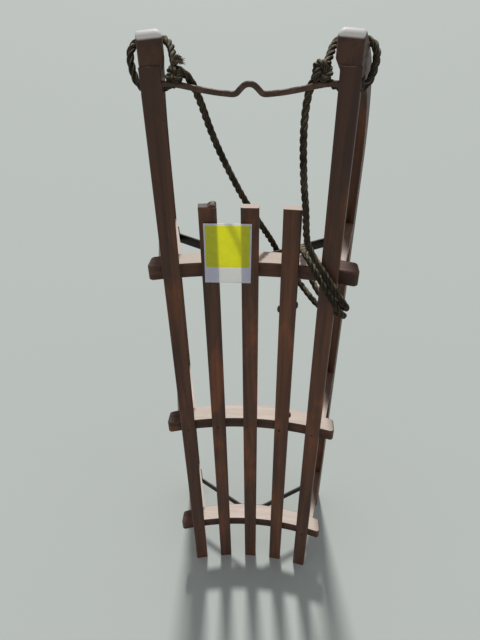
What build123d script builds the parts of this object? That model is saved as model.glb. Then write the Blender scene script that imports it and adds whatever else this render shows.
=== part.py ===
from build123d import *
import math
import os

# A hand-drawn wooden sled of the Alpine kind, in millimetres, standing on its rear ends as it is parked.
# X is across the sled, +Z runs along it from the rear ends up to the horns, and the seat faces -Y.
# While the pieces are made, y = 0 is the seat-side face of the two side rails. place() then centres the depth.

# The whole sled
SLED_LENGTH = 1200.0
SLED_DEPTH = 228.0
HORN_PROUD = 5.0

# Bars of the seat: the side rails and the slats are one stock, laid on the bow of the crossbars
BAR_WIDTH = 28.0
BAR_THICKNESS = 16.0
BAR_ROUND = 2.5
BAR_BEDDING = 0.5
RAIL_OFFSET = 127.3
SLAT_OFFSET = 64.6
SLAT_LENGTH = 969.0

# Crossbars
BOW_RADIUS = 570.0
CROSSBAR_LENGTH = 341.0
CROSSBAR_HEIGHT = 26.0
CROSSBAR_DEPTH_MIDDLE = 42.0
CROSSBAR_DEPTH_END = 36.0
CROSSBAR_END_ROUND = 7.0
CROSSBAR_EDGE = 1.6

# Bent runners, each in a plane that slants outwards with its legs
RUNNER_WIDTH = 33.0
RUNNER_DEPTH = 40.0
RUNNER_TRACK = 342.0
RUNNER_SLANT = 14.0
BEND_RADIUS = 197.0
BEND_ANGLE = 68.0
HORN_TOP_ROUND = 12.0

# Steel shoes on the runners
SHOE_WIDTH = 22.0
SHOE_THICKNESS = 3.0
SHOE_REAR_GAP = 4.0
SHOE_BEND_ANGLE = 60.0

# Legs
LEG_WIDTH = 40.0
LEG_THICKNESS = 22.0
LEG_SPLAY = 13.0
LEG_RAKE = 10.0
TENON_WIDTH = 20.0
TENON_THICKNESS = 12.0
TENON_DEPTH = 16.0

# Iron braces from the legs to the middle of a crossbar
BRACE_WIDTH = 17.0
BRACE_THICKNESS = 3.0
BRACE_FLAT = 52.0
BRACE_BEDDING = 0.8
BRACE_BEND_SHARE = 0.70
BRACE_TAB_SHARE = 0.94
BRACE_BEND_RADIUS = 9.0

# Iron draw rod between the horns, with a raised crook in its middle
ROD_DIAMETER = 8.5
ROD_DROP = 63.0
ROD_SAG = 14.0
ROD_SAG_OFFSET = 55.0
ROD_SAG_RISE = 1.0
CROOK_RISE = 13.5
CROOK_FOOT_OFFSET = 19.0
CROOK_TOP_OFFSET = 8.0
CROOK_BEND_RADIUS = 9.0
ROD_SAG_RADIUS = 60.0
ROD_END_RADIUS = 12.0
ROD_NUT_SIZE = 13.0
ROD_NUT_THICKNESS = 3.0
ROD_WASHER_RADIUS = 8.0
ROD_WASHER_THICKNESS = 1.2
ROD_FLAT_MARGIN = 1.0
ROD_END_PROUD = 1.0

# Tow rope
ROPE_DIAMETER = 11.0
KNOT_ROUND = 10.0
KNOT_ROD_GAP = 0.3

# name, height of the crossbar's middle line above the rear ends, how far it reaches further right than left,
# and whether a brace ties it to its legs
CROSSBARS = (
    ("front", 856.0, 3.5, True),
    ("middle", 489.5, 0.0, False),
    ("rear", 130.5, 0.0, True),
)

# name and offset of each slat from the middle of the sled
SLATS = (
    ("slat_left", -SLAT_OFFSET),
    ("slat_middle", 0.0),
    ("slat_right", SLAT_OFFSET),
)

# name and the side of the sled on which a piece of a pair lies
SIDES = (
    ("left", -1),
    ("right", 1),
)

# x, y and z of the rope's route, from the knot at the left horn to the knot at the right horn.
# It hangs behind the slats, goes twice round the right rail under the front crossbar and comes up in front.
ROPE_ROUTE = (
    (-92.0, 10.0, 1154.0),
    (-84.0, 13.0, 1150.0),
    (-77.0, 17.0, 1141.0),
    (-71.5, 22.0, 1127.0),
    (-65.5, 30.0, 1106.0),
    (-58.5, 34.0, 1081.0),
    (-48.0, 39.0, 1050.0),
    (-31.0, 45.0, 1010.0),
    (-9.0, 53.0, 963.0),
    (15.5, 68.0, 918.0),
    (32.0, 88.0, 883.0),
    (42.0, 98.0, 859.0),
    (51.0, 101.0, 840.0),
    (62.0, 97.0, 824.0),
    (77.0, 86.0, 811.0),
    (93.0, 68.0, 799.0),
    (106.5, 50.0, 790.0),
    (118.0, 36.0, 784.0),
    (134.5, 29.0, 780.0),
    (150.5, 22.0, 781.0),
    (158.5, 6.0, 786.0),
    (153.0, -10.0, 797.0),
    (142.0, -14.0, 813.0),
    (129.0, -12.0, 834.0),
    (116.0, -8.0, 854.0),
    (105.0, -1.0, 869.0),
    (96.0, 7.0, 882.0),
    (88.5, 20.0, 890.0),
    (85.0, 37.0, 889.0),
    (84.5, 55.0, 885.0),
    (86.0, 71.0, 878.0),
    (90.0, 79.0, 862.0),
    (94.0, 79.0, 844.0),
    (99.0, 72.0, 829.0),
    (107.5, 57.0, 817.0),
    (119.0, 38.0, 805.0),
    (135.5, 29.0, 799.0),
    (151.5, 22.0, 797.0),
    (159.5, 6.0, 801.0),
    (158.0, -10.0, 812.0),
    (149.0, -14.0, 827.0),
    (136.0, -12.0, 846.0),
    (122.0, -9.0, 866.0),
    (109.0, -3.0, 885.0),
    (98.0, 3.0, 902.0),
    (91.0, 4.0, 921.0),
    (88.0, 3.0, 945.0),
    (85.0, 3.0, 972.0),
    (79.0, 6.0, 1003.0),
    (75.0, 10.0, 1035.0),
    (73.0, 13.0, 1067.0),
    (73.0, 17.0, 1096.0),
    (75.5, 21.0, 1120.0),
    (80.5, 22.0, 1139.0),
    (88.0, 17.0, 1152.0),
)

# x, y and z of the loop round the right horn, from its knot behind the rail, round the horn and back
LOOP_ROUTE = (
    (94.0, 17.0, 1141.0),
    (106.0, 31.0, 1134.0),
    (120.0, 42.0, 1127.0),
    (139.0, 46.0, 1124.0),
    (156.5, 48.0, 1131.0),
    (161.0, 49.0, 1151.0),
    (160.5, 49.0, 1171.0),
    (156.5, 51.0, 1189.0),
    (138.0, 53.0, 1196.0),
    (117.0, 51.0, 1196.0),
    (104.0, 42.0, 1188.0),
    (101.5, 29.0, 1173.0),
    (96.0, 16.0, 1158.0),
)

# name, side, and centre and size of the knot beside each horn
KNOTS = (
    ("left", -1, (-95.2, 13.0, 1147.5), (21.5, 26.0, 30.0)),
    ("right", 1, (91.5, 13.0, 1150.5), (29.0, 27.0, 36.0)),
)

# Worked out from the sizes above
BIG = 2.0 * SLED_LENGTH
SLANT = math.radians(RUNNER_SLANT)
SPLAY = math.radians(LEG_SPLAY)
BEND = math.radians(BEND_ANGLE)
BED_RADIUS = BOW_RADIUS + BAR_BEDDING
RAIL_TURN = math.asin(RAIL_OFFSET / (BED_RADIUS - BAR_THICKNESS / 2))
BOW_CENTRE_Y = -(BED_RADIUS - BAR_THICKNESS) * math.cos(RAIL_TURN)
RUNNER_X = RUNNER_TRACK / 2
SHOE_FACE = RUNNER_DEPTH / 2 + SHOE_THICKNESS
RUNNER_Y = SLED_DEPTH - HORN_PROUD - SHOE_FACE * math.cos(SLANT) - SHOE_WIDTH / 2 * math.sin(SLANT)
CENTRE_Y = -(SLED_DEPTH / 2 - HORN_PROUD)
ROD_HEIGHT = SLED_LENGTH - ROD_DROP


def place(shape):
    """Moves a finished piece so that the sled's depth is centred on y = 0."""
    return shape.moved(Location((0, CENTRE_Y, 0)))


def mirrored(shape, side):
    """Returns a piece made for the right side, or its mirror image for the left side."""
    if side > 0:
        return shape
    return shape.mirror(Plane.YZ)


def bow_y(x, radius, centre_y):
    """Height of a bowed face at x, for an arc of the given radius."""
    return centre_y + math.sqrt(radius * radius - x * x)


def block(x_size, y_size, z_size, x, y, z):
    """A plain box centred on a point."""
    return Pos(x, y, z) * Box(x_size, y_size, z_size)


# Crossbars
def crossbar_profile(further):
    """Outline of a crossbar seen along the sled, that reaches further right than left by twice the value given."""
    half = CROSSBAR_LENGTH / 2
    left = -half + further
    right = half + further
    seat_middle = BOW_CENTRE_Y + BOW_RADIUS
    under_middle = seat_middle + CROSSBAR_DEPTH_MIDDLE
    rise = under_middle - bow_y(half, BOW_RADIUS, BOW_CENTRE_Y) - CROSSBAR_DEPTH_END
    under_radius = (half * half + rise * rise) / (2 * rise)
    seat_left = bow_y(left, BOW_RADIUS, BOW_CENTRE_Y)
    seat_right = bow_y(right, BOW_RADIUS, BOW_CENTRE_Y)
    under_left = bow_y(left, under_radius, under_middle - under_radius)
    under_right = bow_y(right, under_radius, under_middle - under_radius)
    outline = [
        ThreePointArc((left, seat_left), (0, seat_middle), (right, seat_right)),
        Line((right, seat_right), (right, under_right)),
        ThreePointArc((right, under_right), (0, under_middle), (left, under_left)),
        Line((left, under_left), (left, seat_left)),
    ]
    face = make_face(outline)
    return fillet(face.vertices(), CROSSBAR_END_ROUND)


def crossbar_blank(height, further):
    """A crossbar before its flats and mortises are cut."""
    blank = extrude(Plane.XY.offset(-height / 2) * crossbar_profile(further), amount=height)
    return blank


def crossbar(further):
    """A crossbar at z = 0 with its edges eased, before anything is fitted to it."""
    bar = crossbar_blank(CROSSBAR_HEIGHT, further)
    return chamfer(bar.faces().filter_by(Axis.Z).edges(), CROSSBAR_EDGE)


# Bars of the seat
def bar_plane(offset):
    """Plane of a bar's cross-section at z = 0, turned to lie on the bow of the crossbars."""
    turn = math.asin(offset / (BED_RADIUS - BAR_THICKNESS / 2))
    radius = BED_RADIUS - BAR_THICKNESS / 2
    origin = (radius * math.sin(turn), BOW_CENTRE_Y + radius * math.cos(turn), 0)
    return Plane(origin=origin, x_dir=(math.cos(turn), -math.sin(turn), 0), z_dir=(0, 0, 1))


def seat_bar(offset, length):
    """A rail or slat from the rear end up, with rounded long edges."""
    bar = extrude(bar_plane(offset) * Rectangle(BAR_WIDTH, BAR_THICKNESS), amount=length)
    return fillet(bar.edges().filter_by(Axis.Z), BAR_ROUND)


def bar_beds():
    """What the rails and slats cut from a crossbar at z = 0, so that each lies flat on the bow."""
    beds = []
    for offset in [offset for name, offset in SLATS] + [side * RAIL_OFFSET for name, side in SIDES]:
        middle = bar_plane(offset).offset(-CROSSBAR_HEIGHT)
        beds.append(extrude(middle * Rectangle(BAR_WIDTH, BAR_THICKNESS), amount=2 * CROSSBAR_HEIGHT))
    return beds


# Runners
def runner_location():
    """Frame of the right runner: x across its width, y away from the seat, z along the sled."""
    return Location((RUNNER_X, RUNNER_Y, 0), (0, 0, -RUNNER_SLANT))


def tip_run():
    """Length of the straight stretch after the bend, enough to pass the seat-side face of the horn."""
    fall = BEND_RADIUS * (1 - math.cos(BEND))
    reach = (RUNNER_Y + HORN_PROUD) / math.cos(SLANT) + RUNNER_DEPTH / 2
    return (reach - fall + RUNNER_DEPTH) / math.sin(BEND)


def bend_start():
    """Height at which the bend starts, so that the horn's top comes to the sled's length."""
    fall = BEND_RADIUS * (1 - math.cos(BEND))
    reach = (RUNNER_Y + HORN_PROUD) / math.cos(SLANT) + RUNNER_DEPTH / 2
    run = (reach - fall) / math.sin(BEND)
    rise = BEND_RADIUS * math.sin(BEND) + run * math.cos(BEND)
    corner = RUNNER_WIDTH / 2 * math.tan(SLANT) / math.tan(BEND)
    rounded = HORN_TOP_ROUND * (1 / math.sin(BEND) - 1 + 1 / math.tan(BEND))
    return SLED_LENGTH + rounded - corner - rise


def bent_band(outer, depth, z_start, angle, run):
    """Face of a bent band in the y-z plane. outer is its outer face, depth its depth towards the seat."""
    centre_y = RUNNER_DEPTH / 2 - BEND_RADIUS
    centre_z = bend_start()
    big = outer - centre_y
    small = big - depth
    turn = math.radians(angle)
    half = turn / 2
    across = (math.cos(turn), math.sin(turn))
    along = (-math.sin(turn), math.cos(turn))

    def polar(radius, at):
        return (centre_y + radius * math.cos(at), centre_z + radius * math.sin(at))

    def ahead(radius):
        return (
            centre_y + radius * across[0] + run * along[0],
            centre_z + radius * across[1] + run * along[1],
        )

    outline = [
        Line((outer, z_start), (outer, centre_z)),
        ThreePointArc((outer, centre_z), polar(big, half), polar(big, turn)),
    ]
    if run > 0:
        outline.append(Line(polar(big, turn), ahead(big)))
    outline.append(Line(ahead(big), ahead(small)))
    if run > 0:
        outline.append(Line(ahead(small), polar(small, turn)))
    outline.append(ThreePointArc(polar(small, turn), polar(small, half), (outer - depth, centre_z)))
    outline.append(Line((outer - depth, centre_z), (outer - depth, z_start)))
    outline.append(Line((outer - depth, z_start), (outer, z_start)))
    return Plane.YZ * make_face(outline)


def runner_blank():
    """The right runner as bent, before its horn is trimmed, in the sled's frame."""
    face = bent_band(RUNNER_DEPTH / 2, RUNNER_DEPTH, 0.0, BEND_ANGLE, tip_run())
    band = extrude(face, amount=RUNNER_WIDTH / 2, both=True)
    return runner_location() * band


def runner():
    """The right runner with its horn cut flush and rounded."""
    band = runner_blank()
    front = block(BIG, BIG, BIG, 0, -HORN_PROUD - BIG / 2, SLED_LENGTH)
    band = band - front
    tip = band.faces().sort_by(Axis.Y)[0]
    top = tip.edges().sort_by(Axis.Z)[-1]
    band = fillet(top, HORN_TOP_ROUND)
    return band


def shoe():
    """The right steel shoe, on the outer face of its runner."""
    face = bent_band(SHOE_FACE, SHOE_THICKNESS, SHOE_REAR_GAP, SHOE_BEND_ANGLE, 0.0)
    return runner_location() * extrude(face, amount=SHOE_WIDTH / 2, both=True)


# Legs
def leg_ends():
    """Top and foot of the right leg's middle line in the x-y plane, and its direction towards the foot."""
    foot_x = RUNNER_X - RUNNER_DEPTH / 2 * math.sin(SLANT)
    foot_y = RUNNER_Y - RUNNER_DEPTH / 2 * math.cos(SLANT)
    top_y = BOW_CENTRE_Y + BOW_RADIUS + CROSSBAR_DEPTH_END / 2
    top_x = foot_x - (foot_y - top_y) * math.tan(SPLAY)
    return Vector(top_x, top_y), Vector(foot_x, foot_y)


def leg_plane():
    """Plane of the right leg at its foot: x across the leg, y along it towards the crossbar."""
    top, foot = leg_ends()
    along = Vector(top.X - foot.X, top.Y - foot.Y, -LEG_RAKE)
    across = Vector(math.cos(SPLAY), -math.sin(SPLAY), 0)
    return Plane(origin=(foot.X, foot.Y, LEG_RAKE), x_dir=across, z_dir=across.cross(along))


def leg_length():
    """Length of the leg's middle line from the runner into the crossbar."""
    top, foot = leg_ends()
    return math.hypot((top - foot).length, LEG_RAKE)


def leg_tenon(start, end):
    """A tenon along the right leg's middle line, between two distances from the foot."""
    plane = leg_plane()
    centre = (0, (start + end) / 2, 0)
    return plane * (Pos(*centre) * Box(TENON_WIDTH, end - start, TENON_THICKNESS))


def leg_parts():
    """The right leg of a crossbar at z = 0, and the tenons that enter the crossbar and the runner."""
    plane = leg_plane()
    length = leg_length()
    outline = Polyline(
        (-RUNNER_WIDTH / 2, -RUNNER_DEPTH / 3),
        (RUNNER_WIDTH / 2, -RUNNER_DEPTH / 3),
        (RUNNER_WIDTH / 2, 0),
        (LEG_WIDTH / 2, length),
        (-LEG_WIDTH / 2, length),
        (-RUNNER_WIDTH / 2, 0),
        close=True,
    )
    board = extrude(plane * make_face(outline), amount=LEG_THICKNESS / 2, both=True)
    beyond = runner_location() * Box(BIG, BIG, BIG, align=(Align.CENTER, Align.MIN, Align.CENTER))
    beyond = beyond.moved(Location(runner_offset(-RUNNER_DEPTH / 2)))
    board = board - beyond - crossbar_blank(2 * LEG_THICKNESS, 0.0)
    shoulder = length - CROSSBAR_DEPTH_END / 2
    tenon = leg_tenon(-TENON_DEPTH, shoulder + TENON_DEPTH)
    return board, tenon


def runner_offset(depth):
    """Step from the runner's middle line by a depth away from the seat, in the sled's frame."""
    return (depth * math.sin(SLANT), depth * math.cos(SLANT), 0)


# Braces
def brace_line():
    """Middle line of a brace in the x-y plane at z = 0, from the left leg to the right one."""
    top, foot = leg_ends()
    across = Vector(math.cos(SPLAY), -math.sin(SPLAY))
    inner_top = top - across * (LEG_WIDTH / 2 + BRACE_THICKNESS / 2)
    inner_foot = foot - across * (RUNNER_WIDTH / 2 + BRACE_THICKNESS / 2)
    bend = inner_top + (inner_foot - inner_top) * BRACE_BEND_SHARE
    end = inner_top + (inner_foot - inner_top) * BRACE_TAB_SHARE
    flat_y = BOW_CENTRE_Y + BOW_RADIUS + CROSSBAR_DEPTH_MIDDLE - BRACE_BEDDING + BRACE_THICKNESS / 2
    right = [(BRACE_FLAT / 2, flat_y), (bend.X, bend.Y), (end.X, end.Y)]
    left = [(-x, y) for x, y in reversed(right)]
    return FilletPolyline(*left, *right, radius=BRACE_BEND_RADIUS)


def brace():
    """A flat iron brace at z = 0."""
    line = brace_line()
    section = Plane(origin=line @ 0, z_dir=line % 0) * Rectangle(BRACE_THICKNESS, BRACE_WIDTH)
    return sweep(section, path=line)


def brace_bed():
    """The shallow flat that the brace's middle needs in the crossbar's underside."""
    near_y = BOW_CENTRE_Y + BOW_RADIUS + CROSSBAR_DEPTH_MIDDLE - BRACE_BEDDING
    return block(BRACE_FLAT * 2, CROSSBAR_DEPTH_END, CROSSBAR_HEIGHT * 2, 0, near_y + CROSSBAR_DEPTH_END / 2, 0)


# Draw rod
def rod_y():
    """Height of the rod above the seat plane: the middle of the rails."""
    return BAR_THICKNESS / 2


def rod_line():
    """Middle line of the rod: a sagging bar with a raised crook in the middle, its ends through the rails."""
    end_x = nut_face_x() + ROD_WASHER_THICKNESS + ROD_NUT_THICKNESS + ROD_END_PROUD
    inside_x = RAIL_OFFSET - BAR_WIDTH / 2 - ROD_DIAMETER / 2
    low = ROD_HEIGHT - ROD_SAG
    right = [
        (CROOK_TOP_OFFSET, rod_y(), low + CROOK_RISE),
        (CROOK_FOOT_OFFSET, rod_y(), low),
        (ROD_SAG_OFFSET, rod_y(), low + ROD_SAG_RISE),
        (inside_x, rod_y(), ROD_HEIGHT),
        (end_x, rod_y(), ROD_HEIGHT),
    ]
    left = [(-x, y, z) for x, y, z in reversed(right)]
    bends = [ROD_END_RADIUS, ROD_SAG_RADIUS, CROOK_BEND_RADIUS, CROOK_BEND_RADIUS]
    return FilletPolyline(*left, *right, radius=bends + bends[::-1])


def rod(radius):
    """The iron draw rod, or the way that it needs at a larger radius."""
    line = rod_line()
    return sweep(Plane(origin=line @ 0, z_dir=line % 0) * Circle(radius), path=line)


def rod_hole(side):
    """The hole for the rod through one rail."""
    hole = Cylinder(ROD_DIAMETER / 2, BAR_WIDTH * 3)
    return Pos(side * RAIL_OFFSET, rod_y(), ROD_HEIGHT) * Rot(0, 90, 0) * hole


def nut_face_x():
    """Where the right rail's outer side is filed flat for the washer."""
    return RAIL_OFFSET + BAR_WIDTH / 2 * math.cos(RAIL_TURN) - BAR_THICKNESS / 2 * math.sin(RAIL_TURN)


def nut_flat():
    """What is filed from the right rail so that the washer lies flat."""
    height = 2 * (ROD_WASHER_RADIUS + ROD_FLAT_MARGIN)
    return block(BAR_WIDTH, BIG, height, nut_face_x() + BAR_WIDTH / 2, 0, ROD_HEIGHT)


def rod_nut():
    """Washer and hexagon nut on the right end of the rod."""
    face_x = nut_face_x()
    washer = Cylinder(ROD_WASHER_RADIUS, ROD_WASHER_THICKNESS, align=(Align.CENTER, Align.CENTER, Align.MIN))
    nut = extrude(RegularPolygon(ROD_NUT_SIZE / 2, 6, major_radius=False), amount=ROD_NUT_THICKNESS)
    stack = washer + Pos(0, 0, ROD_WASHER_THICKNESS) * nut
    stack = stack - Cylinder(ROD_DIAMETER / 2, BIG)
    return Pos(face_x, rod_y(), ROD_HEIGHT) * Rot(0, 90, 0) * stack


# Rope
def cord_radii(points):
    """Bend radius at each inner point of a route, as large as its two runs allow."""
    spots = [Vector(*point) for point in points]
    radii = []
    for before, here, after in zip(spots, spots[1:], spots[2:]):
        turn = (here - before).get_angle(after - here)
        run = min((here - before).length, (after - here).length)
        radii.append(0.45 * run / math.tan(math.radians(turn) / 2))
    return radii


def cord_tube(points):
    """A round tube along a route of straight runs and tangent arcs."""
    radii = cord_radii(points)
    line = FilletPolyline(*points, radius=radii)
    tube = sweep(Plane(origin=line @ 0, z_dir=line % 0) * Circle(ROPE_DIAMETER / 2), path=line)
    print("cord length", round(line.length, 1), "tightest bend", round(min(radii), 1))
    print("volume over section times length", round(tube.volume / (math.pi * ROPE_DIAMETER**2 / 4 * line.length), 5))
    return tube


def knot(centre, size):
    """A knot as one rounded lump, hollowed where the draw rod runs through it."""
    lump = Pos(*centre) * Box(*size)
    lump = fillet(lump.edges(), KNOT_ROUND)
    return lump - rod(ROD_DIAMETER / 2 + KNOT_ROD_GAP)


def horn_cut():
    """Everything from the underside of the right runner's horn upwards, which the rail stops under."""
    inside = BEND_RADIUS - RUNNER_DEPTH
    y = RUNNER_DEPTH / 2 - BEND_RADIUS + inside * math.cos(BEND)
    z = bend_start() + inside * math.sin(BEND)
    solid = Box(BIG, BIG, BIG, align=(Align.CENTER, Align.CENTER, Align.MIN))
    tilted = Pos(0, y, z) * Rot(-(90 - BEND_ANGLE), 0, 0) * solid
    return runner_location() * tilted


def main():
    """Builds every piece and writes one STEP file for each."""
    os.makedirs("parts", exist_ok=True)
    pieces = {}
    slats = {name: seat_bar(offset, SLAT_LENGTH) for name, offset in SLATS}
    rails = {name: seat_bar(side * RAIL_OFFSET, SLED_LENGTH) for name, side in SIDES}
    board, tenon = leg_parts()
    runner_right = runner()
    for name, height, further, braced in CROSSBARS:
        bar = crossbar(further)
        for bed in bar_beds():
            bar = bar - bed
        for side_name, side in SIDES:
            bar = bar - mirrored(tenon, side)
        if braced:
            bar = bar - brace_bed()
            pieces[f"brace_{name}"] = Pos(0, 0, height) * brace()
        pieces[f"crossbar_{name}"] = Pos(0, 0, height) * bar
        runner_right = runner_right - Pos(0, 0, height) * tenon
        leg = board + tenon
        if braced:
            leg = leg - brace()
        for side_name, side in SIDES:
            pieces[f"leg_{name}_{side_name}"] = Pos(0, 0, height) * mirrored(leg, side)
    for name, side in SIDES:
        rail = rails[name] - mirrored(horn_cut(), side) - rod_hole(side) - mirrored(nut_flat(), side)
        pieces[f"rail_{name}"] = rail
        pieces[f"runner_{name}"] = mirrored(runner_right, side)
        pieces[f"shoe_{name}"] = mirrored(shoe(), side)
        pieces[f"rod_nut_{name}"] = mirrored(rod_nut(), side)
    pieces.update(slats)
    pieces["draw_rod"] = rod(ROD_DIAMETER / 2)
    run = cord_tube(ROPE_ROUTE)
    loop = cord_tube(LOOP_ROUTE)
    for name, side, centre, size in KNOTS:
        lump = knot(centre, size)
        pieces[f"rope_knot_{name}"] = lump
        pieces[f"rope_loop_{name}"] = mirrored(loop, side) - lump
        run = run - lump
    pieces["rope_run"] = run
    for name, shape in pieces.items():
        export_step(place(shape), f"parts/{name}.step")


main()
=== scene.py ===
import logging
import math
import random
from collections.abc import Callable
from dataclasses import dataclass
from enum import Enum

import bpy
from mathutils import Matrix, Vector


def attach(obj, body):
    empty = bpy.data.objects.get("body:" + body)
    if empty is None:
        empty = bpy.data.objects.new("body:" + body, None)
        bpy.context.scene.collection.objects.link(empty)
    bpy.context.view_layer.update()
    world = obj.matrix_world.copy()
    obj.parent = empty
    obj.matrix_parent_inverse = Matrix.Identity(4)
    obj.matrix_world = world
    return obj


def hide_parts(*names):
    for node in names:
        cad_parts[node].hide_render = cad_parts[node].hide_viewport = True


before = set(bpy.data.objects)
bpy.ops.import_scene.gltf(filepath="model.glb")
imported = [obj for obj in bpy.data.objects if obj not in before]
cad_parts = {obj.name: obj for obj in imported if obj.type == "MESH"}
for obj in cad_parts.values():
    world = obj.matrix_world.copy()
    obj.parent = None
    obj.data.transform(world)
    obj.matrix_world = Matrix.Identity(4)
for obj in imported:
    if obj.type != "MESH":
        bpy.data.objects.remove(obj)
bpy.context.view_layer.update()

LOG = logging.getLogger("sled")

Colour = tuple[float, float, float, float]
Point = tuple[float, float, float]
Band = tuple[float, float]
Socket = bpy.types.NodeSocket
EdgeTest = Callable[[Vector, Vector], bool]

MM = 0.001
SEAT_SHIFT = -109.0
SIDES = (("left", -1), ("right", 1))

# how far a horn's end face looks forward, and its underside down, at least
END_FACING = -0.9
UNDER_FACING = -0.6

# how far the draw rod lies behind the rails' seat faces
ROD_DEPTH = 8.0

# x and z of the draw rod's left half, from its end beyond the rail to beside the crook's top
ROD_ROUTE = (
    (-144.2, 1137.0),
    (-118.0, 1137.0),
    (-105.0, 1138.6),
    (-88.0, 1136.2),
    (-66.0, 1131.6),
    (-45.0, 1128.0),
    (-30.0, 1126.4),
    (-17.5, 1125.4),
    (-12.5, 1131.0),
    (-5.0, 1137.8),
)

# x, y and z of the tow rope's route, from the knot at the left horn to the knot at the right horn
RUN_ROUTE = (
    (-92.0, 10.0, 1154.0),
    (-84.0, 13.0, 1150.0),
    (-77.0, 17.0, 1141.0),
    (-71.5, 22.0, 1127.0),
    (-66.2, 36.0, 1105.0),
    (-59.8, 45.0, 1078.0),
    (-49.6, 54.0, 1045.5),
    (-32.6, 62.0, 1004.0),
    (-10.0, 70.0, 956.0),
    (15.0, 81.0, 912.0),
    (32.0, 93.0, 880.5),
    (42.0, 98.0, 859.0),
    (51.0, 101.0, 840.0),
    (62.0, 97.0, 824.0),
    (77.0, 86.0, 811.0),
    (93.0, 68.0, 799.0),
    (106.5, 50.0, 790.0),
    (118.0, 36.0, 784.0),
    (134.5, 29.0, 780.0),
    (150.5, 22.0, 781.0),
    (158.5, 6.0, 786.0),
    (153.0, -10.0, 797.0),
    (142.0, -14.0, 813.0),
    (129.0, -12.0, 834.0),
    (116.0, -8.0, 854.0),
    (105.0, -1.0, 869.0),
    (96.0, 7.0, 882.0),
    (88.5, 20.0, 890.0),
    (85.0, 37.0, 889.0),
    (84.5, 55.0, 885.0),
    (86.0, 71.0, 878.0),
    (90.0, 79.0, 862.0),
    (94.0, 79.0, 844.0),
    (99.0, 72.0, 829.0),
    (107.5, 57.0, 817.0),
    (119.0, 38.0, 805.0),
    (135.5, 29.0, 799.0),
    (151.5, 22.0, 797.0),
    (159.5, 6.0, 801.0),
    (158.0, -10.0, 812.0),
    (149.0, -14.0, 827.0),
    (136.0, -12.0, 846.0),
    (122.0, -9.0, 866.0),
    (107.0, -3.0, 886.0),
    (95.0, 3.0, 903.0),
    (87.0, 4.0, 922.0),
    (84.5, 3.0, 945.0),
    (82.5, 3.0, 972.0),
    (78.0, 6.0, 1003.0),
    (75.0, 10.0, 1035.0),
    (73.0, 13.0, 1067.0),
    (73.0, 17.0, 1096.0),
    (75.5, 21.0, 1120.0),
    (80.5, 22.0, 1139.0),
    (88.0, 17.0, 1152.0),
)

# x, y and z of the loop round the right horn, from its knot behind the rail, round the horn and back
LOOP_ROUTE = (
    (94.0, 17.0, 1141.0),
    (106.0, 31.0, 1134.0),
    (120.0, 42.0, 1127.0),
    (139.0, 46.0, 1124.0),
    (156.5, 48.0, 1131.0),
    (162.0, 50.0, 1150.0),
    (164.0, 55.0, 1167.0),
    (158.0, 63.0, 1179.0),
    (140.0, 69.0, 1183.0),
    (121.0, 69.0, 1185.0),
    (107.0, 55.0, 1178.0),
    (101.0, 34.0, 1166.0),
    (96.0, 16.0, 1157.0),
)

# name, centre and size of the knot beside each horn
KNOTS = (
    ("left", (-96.5, 13.0, 1145.0), (27.0, 28.0, 31.0)),
    ("right", (91.0, 13.0, 1149.5), (30.0, 29.0, 36.0)),
)


def drawn(x: float, y: float, z: float) -> Vector:
    """Turns a place in millimetres, with y = 0 at the rails' seat faces, into the frame's metres.

    Args:
        x: Place across the sled.
        y: Distance behind the rails' seat faces.
        z: Height above the rear ends.

    Returns:
        The same place in the frame.
    """
    return Vector((x * MM, (y + SEAT_SHIFT) * MM, z * MM))


def srgb(red: int, green: int, blue: int) -> Colour:
    """Turns a colour given as screen values from 0 to 255 into a linear one with alpha.

    Args:
        red: Red screen value.
        green: Green screen value.
        blue: Blue screen value.

    Returns:
        The linear colour.
    """
    linear = []
    for value in (red, green, blue):
        share = value / 255
        linear.append(share / 12.92 if share <= 0.04045 else ((share + 0.055) / 1.055) ** 2.4)
    return (linear[0], linear[1], linear[2], 1.0)


def clamped(value: float, low: float, high: float) -> float:
    """Returns a value held between two limits."""
    return min(max(value, low), high)


class Grain(Enum):
    """The way that the grain of a wooden piece runs."""

    ALONG_SLED = "along the sled"
    ACROSS_SLED = "across the sled"
    UP_LEG = "up a leg"
    ROUND_BEND = "round a runner's bend"


@dataclass(frozen=True)
class Pattern:
    """The scale along each axis, and the character, of one noise."""

    scale: Point
    detail: float
    roughness: float = 0.55
    distortion: float = 0.0


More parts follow.
